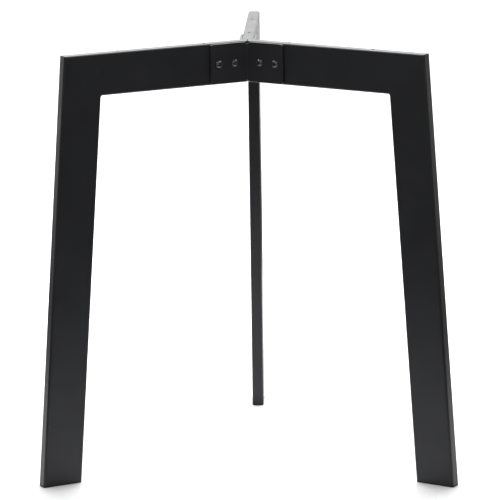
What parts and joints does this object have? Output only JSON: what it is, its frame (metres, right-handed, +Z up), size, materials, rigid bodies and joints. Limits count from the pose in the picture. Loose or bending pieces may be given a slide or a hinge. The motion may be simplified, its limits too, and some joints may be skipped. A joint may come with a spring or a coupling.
{
  "type": "table base",
  "caption": "Table base of flat rectangular steel tube: level arms welded to outward-leaning legs and clamped together at the centre by bent plates with button-head screws.",
  "frame": {"origin": "on the floor, under the centre of the bounding box; the hub axis is at x 0, y -0.0958", "axes": "+Z up; +Y along the back arm, away from the hub; +X to the right as seen from the front, with one arm each way"},
  "size_m": [0.6966, 0.6042, 0.72],
  "materials": {
    "frame_coat": "satin fine-textured black powder coat",
    "plate_coat": "satin fine-textured black powder coat",
    "black_screw": "semi-gloss black zinc",
    "cap_plastic": "matte black moulded plastic"
  },
  "bodies": {
    "root": {"arm_tube_back": "frame_coat", "leg_tube_back": "frame_coat", "corner_weld_back": "frame_coat", "foot_cap_back": "cap_plastic", "hub_screw_back_inner": "black_screw", "sleeve_nut_back_inner": "black_screw", "hub_screw_back_outer": "black_screw", "sleeve_nut_back_outer": "black_screw", "arm_tube_left": "frame_coat", "leg_tube_left": "frame_coat", "corner_weld_left": "frame_coat", "foot_cap_left": "cap_plastic", "hub_screw_left_inner": "black_screw", "sleeve_nut_left_inner": "black_screw", "hub_screw_left_outer": "black_screw", "sleeve_nut_left_outer": "black_screw", "arm_tube_right": "frame_coat", "leg_tube_right": "frame_coat", "corner_weld_right": "frame_coat", "foot_cap_right": "cap_plastic", "hub_screw_right_inner": "black_screw", "sleeve_nut_right_inner": "black_screw", "hub_screw_right_outer": "black_screw", "sleeve_nut_right_outer": "black_screw", "hub_plate_front": "plate_coat", "hub_plate_left": "plate_coat", "hub_plate_right": "plate_coat"}
  },
  "joints": []
}
